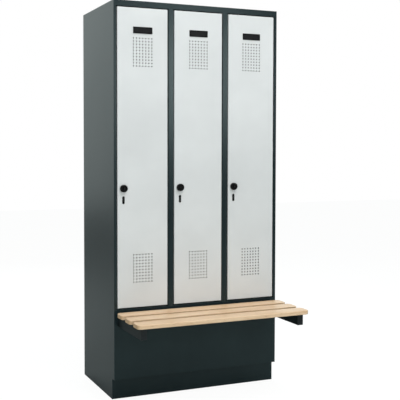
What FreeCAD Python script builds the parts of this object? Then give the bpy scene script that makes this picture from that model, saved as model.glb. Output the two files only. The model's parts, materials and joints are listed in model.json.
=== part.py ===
import FreeCAD, Part
import Sketcher
import math
import os

# Sheet-steel clothes locker with three bays on a closed base, with a slatted beech bench in front.
# X runs to the right along the front, the front faces -Y and Z is up. The origin is on the floor
# in the middle of the whole footprint, bench included. All sizes are in millimetres.

doc = FreeCAD.newDocument("ClothesLocker")
sheet = doc.addObject("Spreadsheet::Sheet", "Sizes")

DRIVING_SIZES = {
    # Carcass
    "cabinet_height": 1950,
    "cabinet_depth": 500,
    "bay_width": 300,
    "steel_gauge": 0.8,
    "fold_radius": 0.7,
    # Front frame
    "top_rail_height": 28,
    "sill_height": 449,
    "bottom_rail_height": 22,
    "post_width": 27,
    "stop_lip": 14,
    "weld_flange": 5,
    # Base under the bays
    "plinth_height": 102,
    "plinth_recess": 32,
    "foot_flange": 25,
    # Doors
    "door_depth": 18,
    "door_gap": 5,
    "door_lip": 15,
    "door_corner": 2,
    "vent_column_pitch": 16,
    "vent_row_pitch": 15,
    "vent_hole": 6,
    "vent_columns": 7,
    "vent_rows": 10,
    "upper_vent_drop": 214,
    "lower_vent_rise": 192,
    # Pivots
    "pivot_inset": 9,
    "pivot_setback": 6,
    "pin_radius": 3,
    "pin_reach": 8,
    "pin_head_radius": 4.2,
    "pin_head_height": 2.5,
    "bush_wall": 1.5,
    "bush_flange": 1,
    "bush_play": 0.4,
    "pin_clearance": 0.08,
    # Rubber buffers on the stop lips
    "buffer_radius": 4,
    "buffer_thickness": 3.7,
    "buffer_clearance": 0.3,
    "buffer_inset": 120,
    # Label holders
    "label_width": 100,
    "label_height": 32,
    "label_depth": 2.4,
    "label_border": 6,
    "label_recess": 1.4,
    "label_drop": 108,
    "label_corner": 2,
    # Locks
    "lock_rise": 586,
    "lock_inset": 30.5,
    "knob_radius": 18,
    "knob_height": 14,
    "knob_gap": 0.3,
    "knob_rim": 3.5,
    "knob_dish": 4,
    "knob_edge": 1.5,
    "grip_width": 7,
    "grip_drop": 0.6,
    "spindle_radius": 4,
    "rivet_radius": 6,
    "rivet_height": 1.5,
    "cam_width": 14,
    "cam_reach": 28,
    "cam_thickness": 3,
    "cam_gap": 0.7,
    "cam_seat": 0.05,
    "cam_corner": 5.6,
    "case_width": 29,
    "case_above": 25,
    "case_below": 85,
    "case_depth": 14,
    "case_corner": 3,
    "key_drop": 57,
    "escutcheon_width": 12,
    "escutcheon_height": 38,
    "escutcheon_depth": 1.2,
    "escutcheon_corner": 5.9,
    "key_slot_width": 3,
    "key_slot_height": 16,
    "key_depth": 9,
    # Hat shelves, clothes rails and hooks
    "shelf_drop": 300,
    "shelf_fold": 20,
    "shelf_return": 10,
    "shelf_setback": 8,
    "rail_radius": 10,
    "rail_wall": 1.5,
    "rail_drop": 35,
    "rail_setback": 250,
    "socket_length": 12,
    "socket_wall": 3,
    "socket_flange": 8,
    "socket_plate": 2,
    "socket_fit": 0.05,
    "hook_spread": 65,
    "hook_width": 12,
    "hook_fit": 0.3,
    "hook_wall": 4,
    "hook_neck": 7,
    "hook_drop": 32,
    "hook_outer": 27,
    "hook_stock": 7,
    # Bench
    "seat_height": 440,
    "slat_width": 80,
    "slat_gap": 28,
    "slat_thickness": 20,
    "slat_setback": 34,
    "slat_corner": 20,
    "slat_edge": 3,
    "arm_width": 30,
    "arm_height": 55,
    "arm_wall": 2,
    "arm_corner": 2.5,
    "arm_inset": 22,
    "arm_setback": 27,
    "arm_tail": 400,
    "arm_clearance": 0.5,
    "cap_plate": 3,
    "cap_plug": 12,
    "cap_fit": 0.1,
    "cap_edge": 1.2,
    "spacer_length": 60,
    "spacer_wall": 2,
    "spacer_setback": 40,
    "screw_radius": 3,
    "screw_bite": 13,
    "screw_fit": 0.2,
    "screw_room": 4,
    "screw_head_radius": 6,
    "screw_head_height": 4,
}


class Size:
    """A number together with the formula that ties it to the sheet of driving sizes."""

    def __init__(self, text, value):
        self.text = text
        self.value = value

    def join(self, other, sign, value):
        return Size(f"({self.text} {sign} {other.text})", value)

    def __add__(self, other):
        other = as_size(other)
        return self.join(other, "+", self.value + other.value)

    def __sub__(self, other):
        other = as_size(other)
        return self.join(other, "-", self.value - other.value)

    def __mul__(self, other):
        other = as_size(other)
        return self.join(other, "*", self.value * other.value)

    def __truediv__(self, other):
        other = as_size(other)
        return self.join(other, "/", self.value / other.value)

    def __neg__(self):
        return as_size(0) - self

    def __radd__(self, other):
        return as_size(other) + self

    def __rsub__(self, other):
        return as_size(other) - self

    def __rmul__(self, other):
        return as_size(other) * self


def as_size(number):
    return number if isinstance(number, Size) else Size(repr(number), float(number))


def limited(radius, wall):
    """A rounding's own radius, or the most that its wall leaves room for."""
    radius, wall = as_size(radius), as_size(wall)
    return Size(f"min({radius.text}; {wall.text})", min(radius.value, wall.value))


class SizeTable:
    """The driving sizes by name, each bound to its cell in the sheet."""


s = SizeTable()
for row, (alias, number) in enumerate(DRIVING_SIZES.items(), start=1):
    sheet.set(f"A{row}", alias)
    sheet.set(f"B{row}", str(number))
    sheet.setAlias(f"B{row}", alias)
    setattr(s, alias, Size(f"Sizes.{alias}", float(number)))
doc.recompute()

BAYS = {"left": -1, "middle": 0, "right": 1}
SLATS = ("rear", "middle", "front")
SIDES = {"left": -1, "right": 1}

sub_parts = []


# Helpers for bound objects

def bind(target, **formulas):
    for name, size in formulas.items():
        target.setExpression(name, as_size(size).text)


def place(target, x, y, z):
    bind(target, **{".Placement.Base.x": x, ".Placement.Base.y": y, ".Placement.Base.z": z})


def keep(target, label):
    target.Label = label
    sub_parts.append(target)
    return target


def box(name, size_x, size_y, size_z, at):
    part = doc.addObject("Part::Box", name)
    bind(part, Length=size_x, Width=size_y, Height=size_z)
    place(part, *at)
    return part


def new_body(name, at):
    body = doc.addObject("PartDesign::Body", name)
    place(body, *at)
    return body


def origin_feature(body, role):
    for feature in body.Origin.OriginFeatures:
        if feature.Role == role:
            return feature


def new_sketch(body, plane, offset=0):
    sketch = body.newObject("Sketcher::SketchObject", "Sketch")
    sketch.AttachmentSupport = [(origin_feature(body, plane), "")]
    sketch.MapMode = "FlatFace"
    bind(sketch, **{".AttachmentOffset.Base.z": offset})
    return sketch


def dimension(sketch, size, kind, *references):
    """Add one dimension to a sketch and bind it to its size."""
    size = as_size(size)
    constraint = sketch.addConstraint(Sketcher.Constraint(kind, *references, size.value))
    sketch.setExpression(f"Constraints[{constraint}]", size.text)


def fix(sketch, geometry, point, across, up):
    """Tie one point of a sketch to its distances from the sketch's origin."""
    dimension(sketch, across, "DistanceX", -1, 1, geometry, point)
    dimension(sketch, up, "DistanceY", -1, 1, geometry, point)


def outline(sketch, points):
    """Draw a closed polygon through points given as (across, up) sizes."""
    corners = [(as_size(across), as_size(up)) for across, up in points]
    lines = []
    for (x0, y0), (x1, y1) in zip(corners, corners[1:] + corners[:1]):
        start = FreeCAD.Vector(x0.value, y0.value, 0)
        end = FreeCAD.Vector(x1.value, y1.value, 0)
        lines.append(sketch.addGeometry(Part.LineSegment(start, end)))
    for line, following in zip(lines, lines[1:] + lines[:1]):
        sketch.addConstraint(Sketcher.Constraint("Coincident", line, 2, following, 1))
    for line, (x0, y0) in zip(lines, corners):
        fix(sketch, line, 1, x0, y0)


def rectangle(sketch, left, low, width, height):
    right = as_size(left) + width
    high = as_size(low) + height
    outline(sketch, [(left, low), (right, low), (right, high), (left, high)])


def circle(sketch, across, up, radius):
    across, up, radius = as_size(across), as_size(up), as_size(radius)
    centre = FreeCAD.Vector(across.value, up.value, 0)
    ring = sketch.addGeometry(Part.Circle(centre, FreeCAD.Vector(0, 0, 1), radius.value))
    fix(sketch, ring, 3, across, up)
    dimension(sketch, radius, "Radius", ring)


def pad(body, sketch, length, backwards=False):
    feature = body.newObject("PartDesign::Pad", "Pad")
    feature.Profile = sketch
    bind(feature, Length=length)
    feature.Reversed = backwards
    return feature


def pocket(body, sketch, length, backwards=False):
    feature = body.newObject("PartDesign::Pocket", "Pocket")
    feature.Profile = sketch
    bind(feature, Length=length)
    feature.Reversed = backwards
    return feature


def revolve(body, sketch):
    feature = body.newObject("PartDesign::Revolution", "Revolution")
    feature.Profile = sketch
    feature.ReferenceAxis = (sketch, ["V_Axis"])
    feature.Angle = 360
    return feature


def fillet(body, radius, chosen):
    """Round the edges of the newest feature that the test picks out."""
    doc.recompute()
    base = body.Tip
    names = [f"Edge{i}" for i, edge in enumerate(base.Shape.Edges, start=1) if chosen(edge)]
    feature = body.newObject("PartDesign::Fillet", "Fillet")
    feature.Base = (base, names)
    bind(feature, Radius=radius)
    return feature


def runs_along(edge, axis):
    direction = edge.Vertexes[-1].Point - edge.Vertexes[0].Point
    return abs(abs(direction.dot(axis)) - direction.Length) < 1e-6 and direction.Length > 1e-6


def turned(name, at, points):
    """A body turned about its own upright axis from (radius, height) points."""
    body = new_body(name, at)
    sketch = new_sketch(body, "XZ_Plane")
    outline(sketch, points)
    revolve(body, sketch)
    return body


def group(label, members):
    compound = doc.addObject("Part::Compound", label)
    compound.Links = members
    return keep(compound, label)


ALONG_X = FreeCAD.Vector(1, 0, 0)
ALONG_Y = FreeCAD.Vector(0, 1, 0)
ALONG_Z = FreeCAD.Vector(0, 0, 1)
TOUCH = 1e-4
ROUND_END = 0.05

# Places that several pieces share

bench_reach = s.slat_setback + len(SLATS) * s.slat_width + (len(SLATS) - 1) * s.slat_gap
front = (bench_reach - s.cabinet_depth) / 2
back = front + s.cabinet_depth
half_width = len(BAYS) * s.bay_width / 2
inner_half = half_width - s.steel_gauge
inner_width = 2 * inner_half
lintel = s.cabinet_height - s.top_rail_height
lip_setback = s.door_depth + s.buffer_thickness + s.buffer_clearance
post_depth = lip_setback + s.steel_gauge
ceiling = s.cabinet_height - s.steel_gauge
shelf_top = s.cabinet_height - s.shelf_drop
rail_height = shelf_top - s.shelf_fold - s.rail_drop
rail_line = front + s.rail_setback
slat_bottom = s.seat_height - s.slat_thickness
arm_bottom = slat_bottom - s.arm_height
arm_front = front - bench_reach + s.arm_setback
# Each slat is screwed at the same distance behind its front edge, clear of the plug in the arm's end
screw_setback = s.arm_setback + s.cap_plug + s.screw_room + s.screw_radius
base_panel_top = s.sill_height - s.bottom_rail_height

door_width = s.bay_width - s.post_width - 2 * s.door_gap
door_bottom = s.sill_height + s.door_gap
door_top = lintel - s.door_gap
door_height = door_top - door_bottom
lock_height = door_bottom + s.lock_rise


def bay_centre(bay):
    return BAYS[bay] * s.bay_width


def bay_walls(bay):
    """The faces of the two sheets that close a bay at its left and right."""
    left = bay_centre(bay) - s.bay_width / 2
    right = bay_centre(bay) + s.bay_width / 2
    left_sheet = s.steel_gauge if bay == "left" else s.steel_gauge / 2
    right_sheet = s.steel_gauge if bay == "right" else s.steel_gauge / 2
    return left + left_sheet, right - right_sheet


def door_left(bay):
    return bay_centre(bay) - door_width / 2


def pivot_x(bay):
    return door_left(bay) + door_width - s.pivot_inset


# Carcass sheets

def make_side(label, left):
    """A side sheet down to the floor, notched at the foot of its front edge for the set-back plinth."""
    side = new_body("SidePanel", (left, front, 0))
    profile = new_sketch(side, "YZ_Plane")
    outline(profile, [(s.plinth_recess, 0), (s.cabinet_depth, 0), (s.cabinet_depth, s.cabinet_height),
                      (0, s.cabinet_height), (0, s.plinth_height), (s.plinth_recess, s.plinth_height)])
    pad(side, profile, s.steel_gauge)
    keep(side, label)


def make_carcass():
    gauge = s.steel_gauge
    for side, sign in SIDES.items():
        make_side(f"side_panel_{side}", -half_width if sign < 0 else inner_half)
    keep(box("TopPanel", inner_width, s.cabinet_depth, gauge, (-inner_half, front, ceiling)), "top_panel")
    keep(box("BackPanel", inner_width, gauge, ceiling, (-inner_half, back - gauge, 0)), "back_panel")
    inside_depth = s.cabinet_depth - post_depth - gauge
    behind_frame = front + post_depth
    floor_at = (-inner_half, behind_frame, s.sill_height - gauge)
    keep(box("FloorPanel", inner_width, inside_depth, gauge, floor_at), "floor_panel")
    for side, sign in SIDES.items():
        wall_at = (sign * s.bay_width / 2 - gauge / 2, behind_frame, s.sill_height)
        keep(box("Partition", gauge, inside_depth, ceiling - s.sill_height, wall_at), f"partition_{side}")


# Front frame of folded bars

def make_post(label, left, right, has_lip, has_flange):
    """A post folded from sheet: two walls, a stop lip at the lock side and a flange for the partition."""
    gauge = s.steel_gauge
    width = right - left
    points = [(0, post_depth), (0, 0), (width, 0)]
    if has_lip:
        lip_edge = width + s.stop_lip
        points += [(width, lip_setback), (lip_edge, lip_setback), (lip_edge, post_depth)]
    else:
        points += [(width, post_depth)]
    points += [(width - gauge, post_depth), (width - gauge, gauge), (gauge, gauge)]
    if has_flange:
        reach = width / 2 + s.weld_flange
        points += [(gauge, lip_setback), (reach, lip_setback), (reach, post_depth)]
    else:
        points += [(gauge, post_depth)]
    body = new_body("Post", (left, front, s.sill_height))
    sketch = new_sketch(body, "XY_Plane")
    outline(sketch, points)
    pad(body, sketch, lintel - s.sill_height)
    fillet(body, s.fold_radius, lambda edge: runs_along(edge, ALONG_Z) and edge.Vertexes[0].Y < TOUCH)
    keep(body, label)


def make_rail(label, height, sign):
    """A rail folded from sheet, with its shelf at the door's side and holes for the pivot bushes."""
    gauge = s.steel_gauge
    level = lintel if sign > 0 else s.sill_height
    points = [(0, 0), (post_depth, 0), (post_depth, sign * gauge)]
    points += [(gauge, sign * gauge), (gauge, sign * height), (0, sign * height)]
    body = new_body("Rail", (-inner_half, front, level))
    sketch = new_sketch(body, "YZ_Plane")
    outline(sketch, points)
    pad(body, sketch, inner_width)
    fillet(body, s.fold_radius, lambda edge: runs_along(edge, ALONG_X)
           and abs(edge.Vertexes[0].Y) < TOUCH and abs(edge.Vertexes[0].Z) < TOUCH)
    holes = new_sketch(body, "XY_Plane")
    bush_radius = s.pin_radius + s.pin_clearance + s.bush_wall
    for bay in BAYS:
        circle(holes, pivot_x(bay) + inner_half, s.pivot_setback, bush_radius)
    pocket(body, holes, gauge, backwards=sign > 0)
    keep(body, label)


def make_frame():
    half_post = s.post_width / 2
    make_rail("top_rail", s.top_rail_height - s.steel_gauge, 1)
    make_rail("bottom_rail", s.bottom_rail_height, -1)
    make_post("post_left", -inner_half, half_post - half_width, True, False)
    for side, sign in SIDES.items():
        middle = sign * s.bay_width / 2
        make_post(f"post_mid_{side}", middle - half_post, middle + half_post, True, True)
    make_post("post_right", half_width - half_post, inner_half, False, False)


# Closed base with its recessed plinth

def make_base():
    gauge = s.steel_gauge
    panel = new_body("BasePanel", (-inner_half, front, 0))
    profile = new_sketch(panel, "YZ_Plane")
    ledge = s.plinth_recess + gauge
    outline(profile, [(0, s.plinth_height), (ledge, s.plinth_height), (ledge, s.plinth_height + gauge),
                      (gauge, s.plinth_height + gauge), (gauge, base_panel_top), (0, base_panel_top)])
    pad(panel, profile, inner_width)
    fillet(panel, s.fold_radius, lambda edge: runs_along(edge, ALONG_X)
           and edge.Vertexes[0].Y < TOUCH and edge.Vertexes[0].Z < s.plinth_height.value + TOUCH)
    windows = new_sketch(panel, "XZ_Plane")
    room = s.arm_clearance
    for sign in SIDES.values():
        left = arm_left(sign) + inner_half - room
        rectangle(windows, left, arm_bottom - room, s.arm_width + 2 * room, s.arm_height + 2 * room)
    pocket(panel, windows, gauge)
    keep(panel, "base_front_panel")

    plinth = new_body("Plinth", (-inner_half, front + s.plinth_recess, 0))
    profile = new_sketch(plinth, "YZ_Plane")
    outline(profile, [(0, 0), (s.foot_flange, 0), (s.foot_flange, gauge), (gauge, gauge),
                      (gauge, s.plinth_height), (0, s.plinth_height)])
    pad(plinth, profile, inner_width)
    keep(plinth, "plinth_panel")

    runners = []
    for sign in SIDES.values():
        start = front + s.plinth_recess + s.foot_flange
        runner = new_body("Runner", (sign * inner_half, start, 0))
        profile = new_sketch(runner, "XZ_Plane")
        leg = s.foot_flange
        outline(profile, [(0, 0), (-sign * leg, 0), (-sign * leg, gauge), (-sign * gauge, gauge),
                          (-sign * gauge, leg), (0, leg)])
        pad(runner, profile, back - gauge - start, backwards=True)
        runners.append(runner)
    group("floor_runners", runners)


# Hat shelves, clothes rails and sliding hooks

def make_fittings():
    sockets = []
    for bay in BAYS:
        left, right = bay_walls(bay)
        make_shelf(bay, left, right)
        rail = new_body("ClothesRail", (left, rail_line, rail_height))
        section = new_sketch(rail, "YZ_Plane")
        circle(section, 0, 0, s.rail_radius)
        circle(section, 0, 0, s.rail_radius - s.rail_wall)
        pad(rail, section, right - left)
        keep(rail, f"clothes_rail_{bay}")
        sockets += [make_socket(left, False), make_socket(right, True)]
        for side, sign in SIDES.items():
            make_hook(f"coat_hook_{bay}_{side}", bay_centre(bay) + sign * s.hook_spread)
    group("rail_sockets", sockets)


def make_shelf(bay, left, right):
    """A shelf folded down at its front and back edges, with a return under the front edge."""
    gauge = s.steel_gauge
    start = front + post_depth + s.shelf_setback
    depth = back - gauge - start
    fold = s.shelf_fold
    shelf = new_body("HatShelf", (left, start, shelf_top))
    profile = new_sketch(shelf, "YZ_Plane")
    outline(profile, [(0, 0), (0, -fold), (s.shelf_return, -fold), (s.shelf_return, gauge - fold),
                      (gauge, gauge - fold), (gauge, -gauge), (depth - gauge, -gauge),
                      (depth - gauge, -fold), (depth, -fold), (depth, 0)])
    pad(shelf, profile, right - left)
    fillet(shelf, s.fold_radius, lambda edge: runs_along(edge, ALONG_X) and edge.Vertexes[0].Y < TOUCH)
    keep(shelf, f"hat_shelf_{bay}")


def make_socket(wall, faces_left):
    """A flanged cup that holds one end of a clothes rail against the sheet beside it."""
    socket = new_body("RailSocket", (wall, rail_line, rail_height))
    bore = s.rail_radius + s.socket_fit
    collar = bore + s.socket_wall
    plate = new_sketch(socket, "YZ_Plane")
    circle(plate, 0, 0, collar + s.socket_flange)
    circle(plate, 0, 0, bore)
    pad(socket, plate, s.socket_plate, backwards=faces_left)
    cup = new_sketch(socket, "YZ_Plane")
    circle(cup, 0, 0, collar)
    circle(cup, 0, 0, bore)
    pad(socket, cup, s.socket_length, backwards=faces_left)
    return socket


def make_hook(label, middle):
    """A sliding hook: an eye round the rail, a neck and a double hook below it."""
    hook = new_body("CoatHook", (middle - s.hook_width / 2, rail_line, rail_height))
    eye_inner = s.rail_radius + s.hook_fit
    eye_outer = eye_inner + s.hook_wall
    eye = new_sketch(hook, "YZ_Plane")
    circle(eye, 0, 0, eye_outer)
    circle(eye, 0, 0, eye_inner)
    pad(hook, eye, s.hook_width)
    neck = new_sketch(hook, "YZ_Plane")
    inner = s.hook_outer - s.hook_stock
    neck_low = -s.hook_drop - inner - s.hook_stock / 2
    rectangle(neck, -s.hook_neck / 2, neck_low, s.hook_neck, -neck_low - eye_inner - s.hook_wall / 2)
    pad(hook, neck, s.hook_width)
    prongs = new_sketch(hook, "YZ_Plane")
    bowl(prongs, -s.hook_drop, s.hook_outer, inner)
    pad(hook, prongs, s.hook_width)
    keep(hook, label)


def bowl(sketch, level, outer, inner):
    """Draw the lower half of a ring, centred on the upright axis at the given level."""
    centre = FreeCAD.Vector(0, level.value, 0)
    arcs = []
    for radius in (outer, inner):
        ring = Part.Circle(centre, ALONG_Z, radius.value)
        arc = sketch.addGeometry(Part.ArcOfCircle(ring, math.pi, 2 * math.pi))
        fix(sketch, arc, 3, 0, level)
        dimension(sketch, radius, "Radius", arc)
        for end in (1, 2):
            dimension(sketch, level, "DistanceY", -1, 1, arc, end)
        arcs.append(arc)
    for end, sign in ((1, -1), (2, 1)):
        rim_start = FreeCAD.Vector(sign * outer.value, level.value, 0)
        rim_end = FreeCAD.Vector(sign * inner.value, level.value, 0)
        rim = sketch.addGeometry(Part.LineSegment(rim_start, rim_end))
        sketch.addConstraint(Sketcher.Constraint("Coincident", rim, 1, arcs[0], end))
        sketch.addConstraint(Sketcher.Constraint("Coincident", rim, 2, arcs[1], end))


# Doors with their pivots, label holders and locks

def make_door(bay):
    """A door folded as a tray, open at the back, with return lips and two perforated fields."""
    gauge = s.steel_gauge
    door = new_body("Door", (door_left(bay), front, door_bottom))
    face = new_sketch(door, "XZ_Plane")
    rectangle(face, 0, 0, door_width, door_height)
    pad(door, face, s.door_depth, backwards=True)
    fillet(door, limited(s.door_corner, 3 * gauge), lambda edge: edge.CenterOfMass.y < TOUCH)
    hollow = new_sketch(door, "XZ_Plane", -s.door_depth)
    rectangle(hollow, gauge, gauge, door_width - 2 * gauge, door_height - 2 * gauge)
    pocket(door, hollow, s.door_depth - gauge, backwards=True)
    for left in (gauge, door_width - s.door_lip):
        lip = new_sketch(door, "XZ_Plane", -s.door_depth)
        rectangle(lip, left, gauge, s.door_lip - gauge, door_height - 2 * gauge)
        pad(door, lip, gauge)
    openings = new_sketch(door, "XZ_Plane")
    circle(openings, s.lock_inset, s.lock_rise, s.spindle_radius + s.pin_clearance)
    key_level = s.lock_rise - s.key_drop
    rectangle(openings, s.lock_inset - s.key_slot_width / 2, key_level - s.key_slot_height / 2,
              s.key_slot_width, s.key_slot_height)
    pocket(door, openings, gauge)
    pivots = new_sketch(door, "XY_Plane")
    circle(pivots, door_width - s.pivot_inset, s.pivot_setback, s.pin_radius)
    pocket(door, pivots, door_height, backwards=True)
    for level in (s.lower_vent_rise, door_height - s.upper_vent_drop):
        vent_field(door, door_width / 2, level)
    keep(door, f"door_panel_{bay}")


def vent_field(door, middle, level):
    """Punch one square hole through the face and repeat it over a grid."""
    span = (s.vent_columns - 1) * s.vent_column_pitch
    rise = (s.vent_rows - 1) * s.vent_row_pitch
    first = new_sketch(door, "XZ_Plane")
    rectangle(first, middle - (span + s.vent_hole) / 2, level - (rise + s.vent_hole) / 2,
              s.vent_hole, s.vent_hole)
    hole = pocket(door, first, s.steel_gauge)
    hole.Refine = False
    grid = door.newObject("PartDesign::LinearPattern", "VentGrid")
    grid.Refine = False
    grid.Originals = [hole]
    grid.Direction = (origin_feature(door, "X_Axis"), [""])
    grid.Direction2 = (origin_feature(door, "Z_Axis"), [""])
    bind(grid, Length=span, Occurrences=s.vent_columns, Length2=rise, Occurrences2=s.vent_rows)
    door.Tip = grid


def make_pivots(bay):
    """Headed pins in the door's two ends; the flanged bushes that they turn in sit in the rails."""
    gauge = s.steel_gauge
    bore = s.pin_radius + s.pin_clearance
    body_radius = bore + s.bush_wall
    flange_radius = body_radius + s.bush_flange
    tip = gauge + s.door_gap + s.pin_reach
    head = gauge + s.pin_head_height
    pins = []
    bushes = []
    for end, sign in ((door_top, 1), (door_bottom, -1)):
        pivot = (pivot_x(bay), front + s.pivot_setback, end)
        pins.append(turned("PivotPin", pivot, [
            (0, -sign * head), (s.pin_head_radius, -sign * head),
            (s.pin_head_radius, -sign * gauge), (s.pin_radius, -sign * gauge),
            (s.pin_radius, sign * (tip - gauge)), (0, sign * (tip - gauge))]))
        bushes.append(turned("PivotBush", pivot, [
            (bore, sign * s.bush_play), (flange_radius, sign * s.bush_play),
            (flange_radius, sign * s.door_gap), (body_radius, sign * s.door_gap),
            (body_radius, sign * tip), (bore, sign * tip)]))
    group(f"pivot_pins_{bay}", pins)
    return bushes


def make_label(bay):
    holder = new_body("LabelHolder", (bay_centre(bay), front, door_top - s.label_drop))
    plate = new_sketch(holder, "XZ_Plane")
    rectangle(plate, -s.label_width / 2, -s.label_height / 2, s.label_width, s.label_height)
    pad(holder, plate, s.label_depth)
    corner = limited(s.label_corner, s.label_height / 2 - ROUND_END)
    fillet(holder, corner, lambda edge: runs_along(edge, ALONG_Y))
    window = new_sketch(holder, "XZ_Plane", s.label_depth)
    width = s.label_width - 2 * s.label_border
    height = s.label_height - 2 * s.label_border
    rectangle(window, -width / 2, -height / 2, width, height)
    pocket(holder, window, s.label_recess)
    keep(holder, f"label_holder_{bay}")


def make_lock(bay):
    """Lock case inside the door, escutcheon and turn knob in front, and the cam behind."""
    axis = door_left(bay) + s.lock_inset
    case = new_body("LockCase", (axis, front + s.steel_gauge, lock_height))
    face = new_sketch(case, "XZ_Plane")
    rectangle(face, -s.case_width / 2, -s.case_below, s.case_width, s.case_below + s.case_above)
    pad(case, face, s.case_depth, backwards=True)
    fillet(case, s.case_corner, lambda edge: runs_along(edge, ALONG_Y))
    bore = new_sketch(case, "XZ_Plane")
    circle(bore, 0, 0, s.spindle_radius + s.pin_clearance)
    pocket(case, bore, s.case_depth)
    key = new_sketch(case, "XZ_Plane")
    rectangle(key, -s.key_slot_width / 2, -s.key_drop - s.key_slot_height / 2,
              s.key_slot_width, s.key_slot_height)
    pocket(case, key, s.key_depth)
    keep(case, f"lock_case_{bay}")

    plate = new_body("Escutcheon", (axis, front, lock_height - s.key_drop))
    oblong = new_sketch(plate, "XZ_Plane")
    rectangle(oblong, -s.escutcheon_width / 2, -s.escutcheon_height / 2,
              s.escutcheon_width, s.escutcheon_height)
    pad(plate, oblong, s.escutcheon_depth)
    corner = limited(s.escutcheon_corner, s.escutcheon_width / 2 - ROUND_END)
    fillet(plate, corner, lambda edge: runs_along(edge, ALONG_Y))
    slot = new_sketch(plate, "XZ_Plane")
    rectangle(slot, -s.key_slot_width / 2, -s.key_slot_height / 2, s.key_slot_width, s.key_slot_height)
    pocket(plate, slot, s.escutcheon_depth, backwards=True)
    keep(plate, f"escutcheon_{bay}")

    make_knob(bay, axis)
    make_cam(bay, axis)


def make_knob(bay, axis):
    """A dished round knob with a grip bar, on a spindle whose far end is riveted over the cam."""
    knob = new_body("TurnKnob", (axis, front, lock_height))
    profile = new_sketch(knob, "XY_Plane")
    face = -s.knob_height
    dish = face + s.knob_dish
    rim = s.knob_radius - s.knob_rim
    cam_back = post_depth + s.cam_gap + s.cam_thickness
    end = cam_back + s.rivet_height
    outline(profile, [
        (0, dish), (rim - s.knob_edge, dish), (rim, face), (s.knob_radius - s.knob_edge, face),
        (s.knob_radius, face + s.knob_edge), (s.knob_radius, -s.knob_gap), (s.spindle_radius, -s.knob_gap),
        (s.spindle_radius, cam_back), (s.rivet_radius, cam_back), (s.rivet_radius, end), (0, end)])
    revolve(knob, profile)
    grip = new_sketch(knob, "XZ_Plane", -dish)
    length = 2 * rim
    rectangle(grip, -s.grip_width / 2, -length / 2, s.grip_width, length)
    pad(knob, grip, s.knob_dish - s.grip_drop)
    keep(knob, f"turn_knob_{bay}")


def make_cam(bay, axis):
    """A flat cam that hangs at rest and turns to point behind the stop lip."""
    cam = new_body("LatchCam", (axis, front + post_depth + s.cam_gap, lock_height))
    blade = new_sketch(cam, "XZ_Plane")
    rectangle(blade, -s.cam_width / 2, -s.cam_reach, s.cam_width, s.cam_reach + s.cam_width / 2)
    pad(cam, blade, s.cam_thickness, backwards=True)
    corner = limited(s.cam_corner, s.cam_width / 2 - ROUND_END)
    fillet(cam, corner, lambda edge: runs_along(edge, ALONG_Y))
    bore = new_sketch(cam, "XZ_Plane")
    circle(bore, 0, 0, s.spindle_radius + s.cam_seat)
    pocket(cam, bore, s.cam_thickness)
    keep(cam, f"latch_cam_{bay}")


def make_doors():
    bushes = []
    buffers = []
    for bay in BAYS:
        make_door(bay)
        bushes += make_pivots(bay)
        make_label(bay)
        make_lock(bay)
        lip_edge = bay_centre(bay) - s.bay_width / 2 + s.post_width / 2 + s.stop_lip
        for level in (door_bottom + s.buffer_inset, door_top - s.buffer_inset):
            buffers.append(make_buffer(lip_edge - s.buffer_radius, level))
    group("pivot_bushes", bushes)
    group("door_buffers", buffers)


def make_buffer(across, level):
    buffer = new_body("Buffer", (across, front + lip_setback, level))
    disc = new_sketch(buffer, "XZ_Plane")
    circle(disc, 0, 0, s.buffer_radius)
    pad(buffer, disc, s.buffer_thickness)
    return buffer


# Bench of beech slats on two steel arms

def arm_left(sign):
    return -half_width + s.arm_inset if sign < 0 else half_width - s.arm_inset - s.arm_width


def slat_front(number):
    """The front edge of a slat, counted from the cabinet outwards."""
    return front - s.slat_setback - (number + 1) * s.slat_width - number * s.slat_gap


def make_bench():
    screws = []
    for number, row in enumerate(SLATS):
        slat = new_body("Slat", (-half_width, slat_front(number), slat_bottom))
        board = new_sketch(slat, "XY_Plane")
        rectangle(board, 0, 0, 2 * half_width, s.slat_width)
        pad(slat, board, s.slat_thickness)
        corner = limited(s.slat_corner, s.slat_width / 2 - ROUND_END)
        fillet(slat, corner, lambda edge: runs_along(edge, ALONG_Z))
        faces = (0, s.slat_thickness.value)
        rounding = limited(s.slat_edge, s.slat_thickness / 2 - ROUND_END)
        fillet(slat, rounding,
               lambda edge: min(abs(edge.CenterOfMass.z - level) for level in faces) < TOUCH)
        holes = new_sketch(slat, "XY_Plane")
        for sign in SIDES.values():
            across = arm_left(sign) + s.arm_width / 2
            circle(holes, across + half_width, screw_setback, s.screw_radius)
            screws.append(make_screw(across, slat_front(number) + screw_setback))
        pocket(slat, holes, s.screw_bite, backwards=True)
        keep(slat, f"bench_slat_{row}")
    group("slat_screws", screws)

    caps = []
    spacers = []
    for side, sign in SIDES.items():
        make_arm(side, sign)
        caps.append(make_cap(sign))
        for start in (s.spacer_setback, s.arm_tail - s.spacer_length):
            spacers.append(make_spacer(sign, front + start))
    group("arm_caps", caps)
    group("arm_spacers", spacers)


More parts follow.
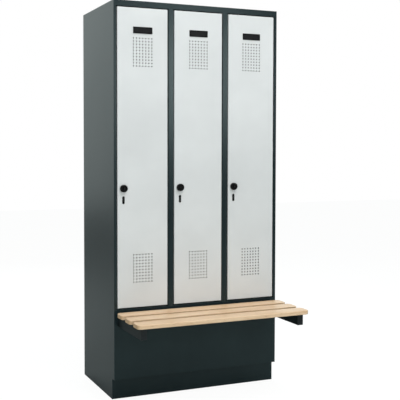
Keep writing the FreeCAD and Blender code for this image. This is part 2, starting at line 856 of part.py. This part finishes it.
def make_arm(side, sign):
    """A rectangular tube that reaches from inside the base to under the front slat."""
    arm = new_body("BenchArm", (arm_left(sign), arm_front, arm_bottom))
    length = front + s.arm_tail - arm_front
    section = new_sketch(arm, "XZ_Plane")
    rectangle(section, 0, 0, s.arm_width, s.arm_height)
    pad(arm, section, length, backwards=True)
    fillet(arm, limited(s.arm_corner, 3 * s.arm_wall), lambda edge: runs_along(edge, ALONG_Y))
    hollow = new_sketch(arm, "XZ_Plane")
    rectangle(hollow, s.arm_wall, s.arm_wall, s.arm_width - 2 * s.arm_wall, s.arm_height - 2 * s.arm_wall)
    pocket(arm, hollow, length)
    holes = new_sketch(arm, "XY_Plane")
    for number in range(len(SLATS)):
        along = slat_front(number) + screw_setback - arm_front
        circle(holes, s.arm_width / 2, along, s.screw_radius + s.screw_fit)
    pocket(arm, holes, s.arm_height, backwards=True)
    keep(arm, f"bench_arm_{side}")


def make_cap(sign):
    cap = new_body("ArmCap", (arm_left(sign), arm_front, arm_bottom))
    plate = new_sketch(cap, "XZ_Plane")
    rectangle(plate, 0, 0, s.arm_width, s.arm_height)
    pad(cap, plate, s.cap_plate)
    fillet(cap, limited(s.arm_corner, 3 * s.arm_wall), lambda edge: runs_along(edge, ALONG_Y))
    rounding = limited(s.cap_edge, s.cap_plate - ROUND_END)
    fillet(cap, rounding, lambda edge: abs(edge.CenterOfMass.y + s.cap_plate.value) < TOUCH)
    plug = new_sketch(cap, "XZ_Plane")
    wall = s.arm_wall + s.cap_fit
    rectangle(plug, wall, wall, s.arm_width - 2 * wall, s.arm_height - 2 * wall)
    pad(cap, plug, s.cap_plug, backwards=True)
    return cap


def make_spacer(sign, start):
    """A short box section that ties an arm to the side panel beside it."""
    width = s.arm_inset - s.steel_gauge
    left = -inner_half if sign < 0 else inner_half - width
    spacer = new_body("ArmSpacer", (left, start, arm_bottom))
    section = new_sketch(spacer, "XZ_Plane")
    rectangle(section, 0, 0, width, s.arm_height)
    rectangle(section, s.spacer_wall, s.spacer_wall,
              width - 2 * s.spacer_wall, s.arm_height - 2 * s.spacer_wall)
    pad(spacer, section, s.spacer_length, backwards=True)
    return spacer


def make_screw(across, along):
    length = s.arm_height + s.screw_bite
    return turned("SlatScrew", (across, along, arm_bottom), [
        (0, -s.screw_head_height), (s.screw_head_radius, -s.screw_head_height), (s.screw_head_radius, 0),
        (s.screw_radius, 0), (s.screw_radius, length), (0, length)])


# Build, test and write

def faults():
    found = []
    for item in doc.Objects:
        if {"Invalid", "Error"} & set(item.State):
            found.append(f"{item.Label}: {item.State}")
    for part in sub_parts:
        if part.Shape.isNull() or not part.Shape.isValid() or not part.Shape.Solids:
            found.append(f"{part.Label}: shape is not a valid solid")
    return found


make_carcass()
make_frame()
make_base()
make_fittings()
make_doors()
make_bench()
doc.recompute()

problems = faults()
if problems:
    raise RuntimeError("\n".join(problems))

os.makedirs("parts", exist_ok=True)
for part in sub_parts:
    part.Shape.exportStep(f"parts/{part.Label}.step")
print(f"{len(sub_parts)} sub-parts written")
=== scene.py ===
import json
import math
import bmesh
import bpy
from mathutils import Matrix, Vector


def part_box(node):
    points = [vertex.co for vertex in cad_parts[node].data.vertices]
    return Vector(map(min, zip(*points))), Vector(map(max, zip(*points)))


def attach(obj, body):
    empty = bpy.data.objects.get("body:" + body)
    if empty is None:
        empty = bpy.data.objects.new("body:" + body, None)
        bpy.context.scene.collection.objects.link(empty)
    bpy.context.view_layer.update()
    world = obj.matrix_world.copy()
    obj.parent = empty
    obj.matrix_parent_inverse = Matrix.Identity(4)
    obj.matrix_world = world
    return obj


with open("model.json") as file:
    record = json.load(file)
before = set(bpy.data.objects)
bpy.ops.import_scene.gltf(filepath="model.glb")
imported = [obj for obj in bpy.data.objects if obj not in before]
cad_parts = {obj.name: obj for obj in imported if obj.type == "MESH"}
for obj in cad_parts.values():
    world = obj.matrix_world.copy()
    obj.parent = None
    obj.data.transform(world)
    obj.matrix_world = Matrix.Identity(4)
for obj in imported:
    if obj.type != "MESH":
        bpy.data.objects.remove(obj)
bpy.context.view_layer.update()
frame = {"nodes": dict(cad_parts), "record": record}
nodes = frame["nodes"]
bays = ("left", "middle", "right")
hands = ("left", "right")
mm = 0.001  # sizes in the settings are in millimetres unless a note says otherwise
resinIor = 1.5  # powder coat, lacquer, plastics and rubber
print("frame loaded:", len(nodes), "nodes")


# colours are written as sRGB hex and used as linear
def linear(hexColour):
    channels = [int(hexColour[i:i + 2], 16) / 255 for i in (1, 3, 5)]
    return [c / 12.92 if c <= 0.04045 else ((c + 0.055) / 1.055) ** 2.4 for c in channels] + [1.0]


# adds one node, sets its sockets or properties and links its inputs
def addNode(tree, kind, settings=None, links=None):
    node = tree.nodes.new(kind)
    for name, value in (settings or {}).items():
        if name == "ramp":
            for stop, (position, hexColour) in zip(node.color_ramp.elements, value):
                stop.position = position
                stop.color = linear(hexColour)
        elif isinstance(name, int) or name in node.inputs:
            node.inputs[name].default_value = value
        else:
            setattr(node, name, value)
    for name, socket in (links or {}).items():
        tree.links.new(socket, node.inputs[name])
    return node


# a new material with constants on its shader's sockets
def newMaterial(name, **sockets):
    material = bpy.data.materials.new(name)
    material.use_nodes = True
    tree = material.node_tree
    shader = tree.nodes["Principled BSDF"]
    for socket, value in sockets.items():
        shader.inputs[socket.replace("_", " ")].default_value = value
    return material, tree, shader


# powder-coated sheet steel: sprayed and baked, so it has a satin sheen, a faint orange peel,
# slow clouds in its tone and a paler band along folds and cut edges, partly a thinner film and partly
# painted highlight
blackGrey = {"name": "powderCoatBlackGrey", "dark": "#182326", "light": "#1d292c", "thinFilmAndHighlight": "#2d393b",
             "matt": 0.29, "gloss": 0.225, "cloud": 240, "peel": 3.0, "peelDepth": 0.05, "edge": 1.2,
             "specular": 0.42, "tint": "#d6ebea"}
# the bench arms' darker copy of the cabinet coat is painted shade under the bench
armShadedCoat = {"name": "powderCoatArmPaintedShade", "dark": "#161e20", "light": "#1b2426", "thinFilmAndHighlight": "#262f31",
            "matt": 0.62, "gloss": 0.54, "cloud": 120, "peel": 3.0, "peelDepth": 0.06, "edge": 1.2,
            "specular": 0.2, "tint": "#ffffff"}
lightGrey = {"name": "powderCoatLightGrey", "dark": "#d4d8d8", "light": "#dde1e1", "thinFilmAndHighlight": "#e8ebea",
             "matt": 0.5, "gloss": 0.4, "cloud": 260, "peel": 3.0, "peelDepth": 0.05, "edge": 1.6,
             "specular": 0.25, "tint": "#ffffff"}
# shared by the three coats; the thinner film and painted highlight begin at edgeStart, the cosine of the
# normal's turn
coatTexture = {"cloudDetail": 4.0, "toneRange": (0.3, 0.7), "edgeSamples": 4, "edgeStart": 0.99,
               "edgeFull": 0.85, "edgeShare": 0.7, "peelDetail": 2.0, "peelStrength": 0.25}


def powderCoat(look):
    material, tree, shader = newMaterial(look["name"], IOR=resinIor, Specular_IOR_Level=look["specular"],
                                         Specular_Tint=linear(look["tint"]))
    place = addNode(tree, "ShaderNodeTexCoord").outputs["Object"]
    cloud = addNode(tree, "ShaderNodeTexNoise",
                    {"Scale": 1 / (look["cloud"] * mm), "Detail": coatTexture["cloudDetail"]},
                    {"Vector": place})
    film = addNode(tree, "ShaderNodeValToRGB",
                   {"ramp": zip(coatTexture["toneRange"], (look["dark"], look["light"]))},
                   {"Fac": cloud.outputs["Fac"]})
    # the angle between the true and a rounded normal finds the folds and edges
    rounded = addNode(tree, "ShaderNodeBevel",
                      {"samples": coatTexture["edgeSamples"], "Radius": look["edge"] * mm})
    surface = addNode(tree, "ShaderNodeNewGeometry")
    turn = addNode(tree, "ShaderNodeVectorMath", {"operation": "DOT_PRODUCT"},
                   {0: rounded.outputs["Normal"], 1: surface.outputs["Normal"]})
    edgeFilmAndHighlight = addNode(tree, "ShaderNodeMapRange",
                      {"From Min": coatTexture["edgeStart"], "From Max": coatTexture["edgeFull"],
                       "To Max": coatTexture["edgeShare"]}, {"Value": turn.outputs["Value"]})
    # paler edge colour: partly the thinner film, partly a painted highlight along folds and edges
    colour = addNode(tree, "ShaderNodeMix", {"data_type": "RGBA", 7: linear(look["thinFilmAndHighlight"])},
                     {0: edgeFilmAndHighlight.outputs["Result"], 6: film.outputs["Color"]})
    tree.links.new(colour.outputs[2], shader.inputs["Base Color"])
    sheen = addNode(tree, "ShaderNodeMapRange", {"To Min": look["gloss"], "To Max": look["matt"]},
                    {"Value": cloud.outputs["Fac"]})
    tree.links.new(sheen.outputs["Result"], shader.inputs["Roughness"])
    # real peel is about 1 mm; drawn coarser so that it shows
    peel = addNode(tree, "ShaderNodeTexNoise",
                   {"Scale": 1 / (look["peel"] * mm), "Detail": coatTexture["peelDetail"]},
                   {"Vector": place})
    bump = addNode(tree, "ShaderNodeBump",
                   {"Strength": coatTexture["peelStrength"], "Distance": look["peelDepth"] * mm},
                   {"Height": peel.outputs["Fac"]})
    tree.links.new(bump.outputs["Normal"], shader.inputs["Normal"])
    return material


# lacquered beech: straight pale grain along the slat, short brown ray flecks, darker end grain,
# a thin satin lacquer, and painted shade that darkens the narrow gaps between the slats
beechLook = {"pale": "#edd0ac", "warm": "#ddb88f", "fleck": "#b3875a", "end": "#cda87a", "gapShade": "#86694b",
             "roughness": 0.42, "specular": 0.5, "lacquer": 0.2, "lacquerRoughness": 0.3,
             "bandLength": 420, "bandWidth": 14, "bandDetail": 5.0, "bandWander": 0.6,
             "bandRange": (0.36, 0.62), "fleckLength": 22, "fleckWidth": 2.2, "fleckDetail": 2.0,
             "fleckStart": 0.58, "fleckFull": 0.72, "fleckShare": 0.55, "poreDepth": 0.06,
             "poreStrength": 0.3, "endPower": 4.0, "gapShadeReach": 42, "gapShadeSamples": 8, "gapShadeStart": 0.97,
             "gapShadeFull": 0.72, "gapShadeShare": 0.6}


def beech(look):
    material, tree, shader = newMaterial("beechLacquered", IOR=resinIor, Roughness=look["roughness"],
                                         Specular_IOR_Level=look["specular"], Coat_Weight=look["lacquer"],
                                         Coat_Roughness=look["lacquerRoughness"])
    coords = addNode(tree, "ShaderNodeTexCoord")
    bandStep = (1 / look["bandLength"], 1 / look["bandWidth"], 1 / look["bandWidth"])
    along = addNode(tree, "ShaderNodeMapping", {"Scale": bandStep}, {"Vector": coords.outputs["Object"]})
    bands = addNode(tree, "ShaderNodeTexNoise",
                    {"Scale": 1 / mm, "Detail": look["bandDetail"], "Distortion": look["bandWander"]},
                    {"Vector": along.outputs["Vector"]})
    grain = addNode(tree, "ShaderNodeValToRGB",
                    {"ramp": zip(look["bandRange"], (look["warm"], look["pale"]))},
                    {"Fac": bands.outputs["Fac"]})
    # real flecks are 2 to 5 mm long; drawn longer so that they show
    fleckStep = (1 / look["fleckLength"], 1 / look["fleckWidth"], 1 / look["fleckWidth"])
    short = addNode(tree, "ShaderNodeMapping", {"Scale": fleckStep}, {"Vector": coords.outputs["Object"]})
    rays = addNode(tree, "ShaderNodeTexNoise", {"Scale": 1 / mm, "Detail": look["fleckDetail"]},
                   {"Vector": short.outputs["Vector"]})
    fleck = addNode(tree, "ShaderNodeMapRange",
                    {"From Min": look["fleckStart"], "From Max": look["fleckFull"],
                     "To Max": look["fleckShare"]}, {"Value": rays.outputs["Fac"]})
    flecked = addNode(tree, "ShaderNodeMix", {"data_type": "RGBA", 7: linear(look["fleck"])},
                      {0: fleck.outputs["Result"], 6: grain.outputs["Color"]})
    # end grain shows where a face looks along the slat
    facing = addNode(tree, "ShaderNodeSeparateXYZ", links={"Vector": coords.outputs["Normal"]})
    endwise = addNode(tree, "ShaderNodeMath", {"operation": "POWER", 1: look["endPower"]},
                      {0: facing.outputs["X"]})
    ended = addNode(tree, "ShaderNodeMix", {"data_type": "RGBA", 7: linear(look["end"])},
                    {0: endwise.outputs["Value"], 6: flecked.outputs[2]})
    # painted shade: the wood darkens where little of the surroundings is open
    openness = addNode(tree, "ShaderNodeAmbientOcclusion",
                       {"samples": look["gapShadeSamples"], "Distance": look["gapShadeReach"] * mm})
    gapShadeAmount = addNode(tree, "ShaderNodeMapRange",
                    {"From Min": look["gapShadeStart"], "From Max": look["gapShadeFull"],
                     "To Max": look["gapShadeShare"]}, {"Value": openness.outputs["AO"]})
    gapShaded = addNode(tree, "ShaderNodeMix", {"data_type": "RGBA", 7: linear(look["gapShade"])},
                     {0: gapShadeAmount.outputs["Result"], 6: ended.outputs[2]})
    tree.links.new(gapShaded.outputs[2], shader.inputs["Base Color"])
    bump = addNode(tree, "ShaderNodeBump",
                   {"Strength": look["poreStrength"], "Distance": look["poreDepth"] * mm},
                   {"Height": rays.outputs["Fac"]})
    tree.links.new(bump.outputs["Normal"], shader.inputs["Normal"])
    return material


# plated and blackened steel: fine rolling lines under a bright zinc plating with a slight blue cast,
# or under a thin black oxide that leaves the metal dark
zincLook = {"name": "zincPlatedSteel", "cool": "#b4bac2", "warm": "#c8c7c1", "patch": 35, "line": 1.6,
            "lineLength": 60}
oxideLook = {"name": "blackOxideSteel", "cool": "#34363a", "warm": "#3f3e3b", "patch": 20, "line": 1.2,
             "lineLength": 10}
# shared by both steels
steelTexture = {"detail": 3.0, "toneRange": (0.35, 0.65), "bright": 0.24, "dull": 0.46, "lineDepth": 0.03,
                "lineStrength": 0.2}


def drawnSteel(look):
    material, tree, shader = newMaterial(look["name"], Metallic=1.0)
    place = addNode(tree, "ShaderNodeTexCoord").outputs["Object"]
    patch = addNode(tree, "ShaderNodeTexNoise",
                    {"Scale": 1 / (look["patch"] * mm), "Detail": steelTexture["detail"]},
                    {"Vector": place})
    tone = addNode(tree, "ShaderNodeValToRGB",
                   {"ramp": zip(steelTexture["toneRange"], (look["cool"], look["warm"]))},
                   {"Fac": patch.outputs["Fac"]})
    tree.links.new(tone.outputs["Color"], shader.inputs["Base Color"])
    # real lines are well under 1 mm apart; drawn coarser so that they show
    lineStep = (1 / look["lineLength"], 1 / look["line"], 1 / look["line"])
    drawn = addNode(tree, "ShaderNodeMapping", {"Scale": lineStep}, {"Vector": place})
    lines = addNode(tree, "ShaderNodeTexNoise", {"Scale": 1 / mm, "Detail": steelTexture["detail"]},
                    {"Vector": drawn.outputs["Vector"]})
    rough = addNode(tree, "ShaderNodeMapRange",
                    {"To Min": steelTexture["bright"], "To Max": steelTexture["dull"]},
                    {"Value": lines.outputs["Fac"]})
    tree.links.new(rough.outputs["Result"], shader.inputs["Roughness"])
    bump = addNode(tree, "ShaderNodeBump",
                   {"Strength": steelTexture["lineStrength"], "Distance": steelTexture["lineDepth"] * mm},
                   {"Height": lines.outputs["Fac"]})
    tree.links.new(bump.outputs["Normal"], shader.inputs["Normal"])
    return material


# moulded plastics and rubber, and a pressed plastic sheet: an even body colour with the fine
# texture of a spark-eroded mould
blackAbs = {"name": "absBlackMoulded", "dark": "#060708", "light": "#0c0e0f", "matt": 0.62, "gloss": 0.5,
            "grit": 1.2, "gritDepth": 0.05, "specular": 0.16}
hookBlack = {"name": "absBlackSatin", "dark": "#1a1c1e", "light": "#25282a", "matt": 0.42, "gloss": 0.3,
             "grit": 1.2, "gritDepth": 0.03, "specular": 0.5}
blackNylon = {"name": "nylonBlackMoulded", "dark": "#121415", "light": "#1b1d1f", "matt": 0.55,
              "gloss": 0.42, "grit": 1.5, "gritDepth": 0.03, "specular": 0.4}
capGrey = {"name": "absBlackGreyMoulded", "dark": "#171d1f", "light": "#1d2427", "matt": 0.6, "gloss": 0.5,
           "grit": 1.2, "gritDepth": 0.05, "specular": 0.3}
blackRubber = {"name": "rubberBlackMoulded", "dark": "#131313", "light": "#1d1d1c", "matt": 0.85,
               "gloss": 0.7, "grit": 1.0, "gritDepth": 0.06, "specular": 0.3}
labelSheet = {"name": "pvcSheetDarkGrey", "dark": "#0e0f11", "light": "#151719", "matt": 0.5,
              "gloss": 0.4, "grit": 4.0, "gritDepth": 0.02, "specular": 0.18}
# shared by all of them
mouldTexture = {"cloud": 12, "cloudDetail": 3.0, "toneRange": (0.3, 0.7), "gritDetail": 2.0,
                "gritStrength": 0.3}


def moulded(look):
    material, tree, shader = newMaterial(look["name"], IOR=resinIor, Specular_IOR_Level=look["specular"])
    place = addNode(tree, "ShaderNodeTexCoord").outputs["Object"]
    cloud = addNode(tree, "ShaderNodeTexNoise",
                    {"Scale": 1 / (mouldTexture["cloud"] * mm), "Detail": mouldTexture["cloudDetail"]},
                    {"Vector": place})
    tone = addNode(tree, "ShaderNodeValToRGB",
                   {"ramp": zip(mouldTexture["toneRange"], (look["dark"], look["light"]))},
                   {"Fac": cloud.outputs["Fac"]})
    tree.links.new(tone.outputs["Color"], shader.inputs["Base Color"])
    sheen = addNode(tree, "ShaderNodeMapRange", {"To Min": look["gloss"], "To Max": look["matt"]},
                    {"Value": cloud.outputs["Fac"]})
    tree.links.new(sheen.outputs["Result"], shader.inputs["Roughness"])
    # real mould grit is well under 1 mm; drawn coarser so that it shows
    grit = addNode(tree, "ShaderNodeTexNoise",
                   {"Scale": 1 / (look["grit"] * mm), "Detail": mouldTexture["gritDetail"]},
                   {"Vector": place})
    bump = addNode(tree, "ShaderNodeBump",
                   {"Strength": mouldTexture["gritStrength"], "Distance": look["gritDepth"] * mm},
                   {"Height": grit.outputs["Fac"]})
    tree.links.new(bump.outputs["Normal"], shader.inputs["Normal"])
    return material


finishes = {
    "black_grey_steel": powderCoat(blackGrey),
    "light_grey_steel": powderCoat(lightGrey),
    "beech": beech(beechLook),
    "zinc_steel": drawnSteel(zincLook),
    "black_plastic": moulded(blackAbs),
    "nylon": moulded(blackNylon),
    "buffer_rubber": moulded(blackRubber),
}
armShadedFinish = powderCoat(armShadedCoat)  # the bench arms get a darker, more matt copy of the cabinet's coat; the darker tone is painted shade under the bench
capFinish = moulded(capGrey)
hookFinish = moulded(hookBlack)
labelFinish = moulded(labelSheet)
oxideFinish = drawnSteel(oxideLook)
for row in frame["record"]["subparts"]:
    nodes[row["node"]].data.materials[0] = finishes[row["material_slot"]]
for hand in hands:
    nodes[f"bench_arm_{hand}"].data.materials[0] = armShadedFinish
nodes["arm_caps"].data.materials[0] = capFinish
for bay in bays:
    nodes[f"lock_case_{bay}"].data.materials[0] = oxideFinish  # dark oxide so the keyhole looks dark: painted shade inside the keyhole
    for hand in hands:
        nodes[f"coat_hook_{bay}_{hand}"].data.materials[0] = hookFinish


# turns a finished bmesh into a piece on its body
def addPiece(name, shape, body, material):
    bmesh.ops.recalc_face_normals(shape, faces=shape.faces)
    mesh = bpy.data.meshes.new(name)
    shape.to_mesh(mesh)
    shape.free()
    mesh.materials.append(material)
    piece = bpy.data.objects.new(name, mesh)
    bpy.context.scene.collection.objects.link(piece)
    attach(piece, body)


# bare insert that lies on the floor of the label holder, inside its border
labelInsert = {"border": 6.3, "holderFloor": 1.0, "thickness": 0.7, "corner": 1.2, "cornerSteps": 4,
               "edge": 0.2, "edgeSteps": 2}
for bay in bays:
    low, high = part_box(f"label_holder_{bay}")
    border = labelInsert["border"] * mm
    thickness = labelInsert["thickness"] * mm
    middle = (low + high) / 2
    middle.y = high.y - labelInsert["holderFloor"] * mm - thickness / 2
    size = Vector((high.x - low.x - 2 * border, thickness, high.z - low.z - 2 * border))
    card = bmesh.new()
    placing = Matrix.Translation(middle) @ Matrix.Diagonal(size).to_4x4()
    bmesh.ops.create_cube(card, size=1.0, matrix=placing)
    corners = [e for e in card.edges if abs(e.verts[0].co.y - e.verts[1].co.y) > thickness / 2]
    bmesh.ops.bevel(card, geom=corners, offset=labelInsert["corner"] * mm, affect="EDGES",
                    segments=labelInsert["cornerSteps"], profile=0.5, material=-1)
    rim = [e for e in card.edges if all(v.co.y < middle.y for v in e.verts)]
    bmesh.ops.bevel(card, geom=rim, offset=labelInsert["edge"] * mm, affect="EDGES",
                    segments=labelInsert["edgeSteps"], profile=0.5, material=-1)
    addPiece(f"labelInsert_{bay}", card, f"door_{bay}", labelFinish)
print("label inserts placed")

# a button-head screw: half its outline, a socket's floor and wall and then the dome, is spun about
# the screw's axis; the socket is then drawn in to a hexagon
buttonHead = {"socketShare": 0.55, "depthShare": 0.6, "domeSteps": 5, "turnSteps": 24, "weld": 1e-6}


def screwHead(centre, outward, radius, height):
    shape = bmesh.new()
    socket = radius * buttonHead["socketShare"]
    floorLevel = height * (1 - buttonHead["depthShare"])
    rimAngle = math.asin(buttonHead["socketShare"])
    stepAngle = (math.pi / 2 - rimAngle) / buttonHead["domeSteps"]
    domeHeight = height / math.cos(rimAngle)  # the head ends at the socket's rim
    outline = [(0.0, floorLevel), (socket, floorLevel)]
    for step in range(buttonHead["domeSteps"] + 1):
        angle = rimAngle + step * stepAngle
        outline.append((radius * math.sin(angle), domeHeight * math.cos(angle)))
    points = [shape.verts.new((across, 0.0, up)) for across, up in outline]
    edges = [shape.edges.new(pair) for pair in zip(points, points[1:])]
    bmesh.ops.spin(shape, geom=points + edges, cent=(0, 0, 0), axis=(0, 0, 1), angle=math.tau,
                   steps=buttonHead["turnSteps"], use_merge=True, use_duplicate=False)
    bmesh.ops.remove_doubles(shape, verts=shape.verts, dist=buttonHead["weld"])
    seatEdges = [e for e in shape.edges if e.is_boundary]
    bmesh.ops.holes_fill(shape, edges=seatEdges)
    sixth = math.tau / 6
    for vert in shape.verts:
        if vert.co.xy.length < socket + buttonHead["weld"]:
            offFlat = math.atan2(vert.co.y, vert.co.x) % sixth - sixth / 2
            vert.co.xy *= math.cos(sixth / 2) / math.cos(offFlat)
    turn = Vector((0, 0, 1)).rotation_difference(Vector(outward)).to_matrix().to_4x4()
    bmesh.ops.transform(shape, matrix=Matrix.Translation(centre) @ turn, verts=shape.verts)
    return shape


# the screw in the knob's middle, on the grip bar
knobScrew = {"radius": 2.0, "height": 0.8, "gripDrop": 0.6, "outward": (0, -1, 0)}
for bay in bays:
    low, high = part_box(f"turn_knob_{bay}")
    centre = (low + high) / 2
    centre.y = low.y + knobScrew["gripDrop"] * mm
    head = screwHead(centre, knobScrew["outward"], knobScrew["radius"] * mm, knobScrew["height"] * mm)
    addPiece(f"knobScrew_{bay}", head, f"knob_{bay}", oxideFinish)

# two screws through each lock case, seen when the door is open
lockScrew = {"radius": 3.6, "height": 1.8, "inset": 10, "outward": (0, 1, 0)}
for bay in bays:
    low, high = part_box(f"lock_case_{bay}")
    inset = lockScrew["inset"] * mm
    for end, level in (("upper", high.z - inset), ("lower", low.z + inset)):
        centre = Vector(((low.x + high.x) / 2, high.y, level))
        head = screwHead(centre, lockScrew["outward"], lockScrew["radius"] * mm, lockScrew["height"] * mm)
        addPiece(f"lockScrew_{bay}_{end}", head, f"door_{bay}", finishes["zinc_steel"])
print("screws placed")

# pale paper floor with slow clouds in its tone, its width in metres
floorLook = {"width": 24.0, "drop": 0.5, "dark": "#b3bcbb", "light": "#bbc4c3", "toneRange": (0.3, 0.7),
             "cloud": 250, "roughness": 0.9, "cameraShare": 0.8, "mirrorShare": 0.02, "white": 1.17}


def floorFinish(look):
    material, tree, shader = newMaterial("paperSweepWhite", Roughness=look["roughness"])
    place = addNode(tree, "ShaderNodeTexCoord").outputs["Object"]
    cloud = addNode(tree, "ShaderNodeTexNoise", {"Scale": 1 / (look["cloud"] * mm)}, {"Vector": place})
    paper = addNode(tree, "ShaderNodeValToRGB",
                    {"ramp": zip(look["toneRange"], (look["dark"], look["light"]))},
                    {"Fac": cloud.outputs["Fac"]})
    tree.links.new(paper.outputs["Color"], shader.inputs["Base Color"])
    # the camera sees it nearly white, with part of the shadow left; reflections see some of that white
    path = addNode(tree, "ShaderNodeLightPath")
    mirrored = addNode(tree, "ShaderNodeMath", {"operation": "MAXIMUM"},
                       {0: path.outputs["Is Glossy Ray"], 1: path.outputs["Is Transmission Ray"]})
    mirrorShare = addNode(tree, "ShaderNodeMath", {"operation": "MULTIPLY", 1: look["mirrorShare"]},
                          {0: mirrored.outputs["Value"]})
    share = addNode(tree, "ShaderNodeMath", {"operation": "MULTIPLY_ADD", 1: look["cameraShare"]},
                    {0: path.outputs["Is Camera Ray"], 2: mirrorShare.outputs["Value"]})
    glow = addNode(tree, "ShaderNodeEmission", {"Strength": look["white"]})
    mixed = addNode(tree, "ShaderNodeMixShader",
                    links={0: share.outputs["Value"], 1: shader.outputs["BSDF"],
                           2: glow.outputs["Emission"]})
    tree.links.new(mixed.outputs["Shader"], tree.nodes["Material Output"].inputs["Surface"])
    return material


floorShape = bmesh.new()
bmesh.ops.create_grid(floorShape, x_segments=1, y_segments=1, size=floorLook["width"] / 2,
                      matrix=Matrix.Translation((0, 0, -floorLook["drop"] * mm)))
floorMesh = bpy.data.meshes.new("floor")
floorShape.to_mesh(floorMesh)
floorShape.free()
floorMesh.materials.append(floorFinish(floorLook))
floor = bpy.data.objects.new("floor", floorMesh)
bpy.context.scene.collection.objects.link(floor)

# white for the camera all round; reflections see a cool white sweep behind the locker, brighter
# higher up, and a dim room behind the camera; low, high, front and back are parts of a unit direction
room = {"camera": 1.0, "diffuse": 0.34, "dim": 0.08, "front": -0.3, "back": 0.5, "sweepLow": 0.61,
        "sweepHigh": 1.14, "low": -0.1, "high": 0.26, "white": "#ffffff", "cool": "#f4fffe"}
world = bpy.data.worlds.new("studio")
world.use_nodes = True
bpy.context.scene.world = world
air = world.node_tree
direction = addNode(air, "ShaderNodeTexCoord").outputs["Generated"]
split = addNode(air, "ShaderNodeSeparateXYZ", links={"Vector": direction})
sweep = addNode(air, "ShaderNodeMapRange",
                {"From Min": room["low"], "From Max": room["high"], "To Min": room["sweepLow"],
                 "To Max": room["sweepHigh"]}, {"Value": split.outputs["Z"]})
behind = addNode(air, "ShaderNodeMapRange",
                 {"From Min": room["front"], "From Max": room["back"], "To Min": room["dim"]},
                 {"Value": split.outputs["Y"]})
around = addNode(air, "ShaderNodeMath", {"operation": "MULTIPLY"},
                 {0: sweep.outputs["Result"], 1: behind.outputs["Result"]})
path = addNode(air, "ShaderNodeLightPath")
mirrored = addNode(air, "ShaderNodeMath", {"operation": "MAXIMUM"},
                   {0: path.outputs["Is Glossy Ray"], 1: path.outputs["Is Transmission Ray"]})
reflected = addNode(air, "ShaderNodeMix", {"data_type": "FLOAT", 2: room["diffuse"]},
                    {0: mirrored.outputs["Value"], 3: around.outputs["Value"]})
strength = addNode(air, "ShaderNodeMix", {"data_type": "FLOAT", 3: room["camera"]},
                   {0: path.outputs["Is Camera Ray"], 2: reflected.outputs[0]})
air.links.new(strength.outputs[0], air.nodes["Background"].inputs["Strength"])
tint = addNode(air, "ShaderNodeMix",
               {"data_type": "RGBA", 6: linear(room["white"]), 7: linear(room["cool"])},
               {0: mirrored.outputs["Value"]})
air.links.new(tint.outputs[2], air.nodes["Background"].inputs["Color"])

# soft boxes, in metres and watts: a large one overhead in front, a fill at the front left, one that
# the upper part of the front mirrors, and one high behind
lamps = {
    "overheadBox": {"place": (0.3, -1.5, 4.2), "aim": (0.0, 0.0, 1.0), "size": 2.6, "power": 99},
    "fillBox": {"place": (-2.6, -3.6, 0.8), "aim": (0.0, 0.0, 1.0), "size": 2.0, "power": 41},
    "glossBox": {"place": (1.7, -4.2, 2.0), "aim": (0.0, 0.0, 1.6), "size": 1.2, "power": 28},
    "rearBox": {"place": (0.3, 3.6, 2.6), "aim": (0.0, 0.0, 1.0), "size": 1.4, "power": 40},
}
for name, lamp in lamps.items():
    light = bpy.data.lights.new(name, "AREA")
    light.size = lamp["size"]
    light.energy = lamp["power"]
    holder = bpy.data.objects.new(name, light)
    holder.location = lamp["place"]
    beam = Vector(lamp["aim"]) - Vector(lamp["place"])
    holder.rotation_euler = beam.to_track_quat("-Z", "Y").to_euler()
    bpy.context.scene.collection.objects.link(holder)
print("stage and", len(lamps), "lamps ready")

# camera at the photograph's place, matched to the cabinet's edges; place in metres, angles in degrees
shot = {"place": (-1.6925, -3.7, 1.2317), "yaw": 22.313, "tiltDown": 2.245, "focalPixels": 789.9,
        "imagePixels": 400, "sensor": 36.0, "shift": (0.1, -0.05)}
cameraData = bpy.data.cameras.new("photoCamera")
cameraData.sensor_width = shot["sensor"]
cameraData.lens = shot["focalPixels"] / shot["imagePixels"] * shot["sensor"]
cameraData.shift_x, cameraData.shift_y = shot["shift"]
camera = bpy.data.objects.new("photoCamera", cameraData)
camera.location = shot["place"]
camera.rotation_euler = (math.radians(90 - shot["tiltDown"]), 0.0, math.radians(-shot["yaw"]))
bpy.context.scene.collection.objects.link(camera)
bpy.context.scene.camera = camera
bpy.context.scene.view_settings.view_transform = "Standard"
print("camera set")
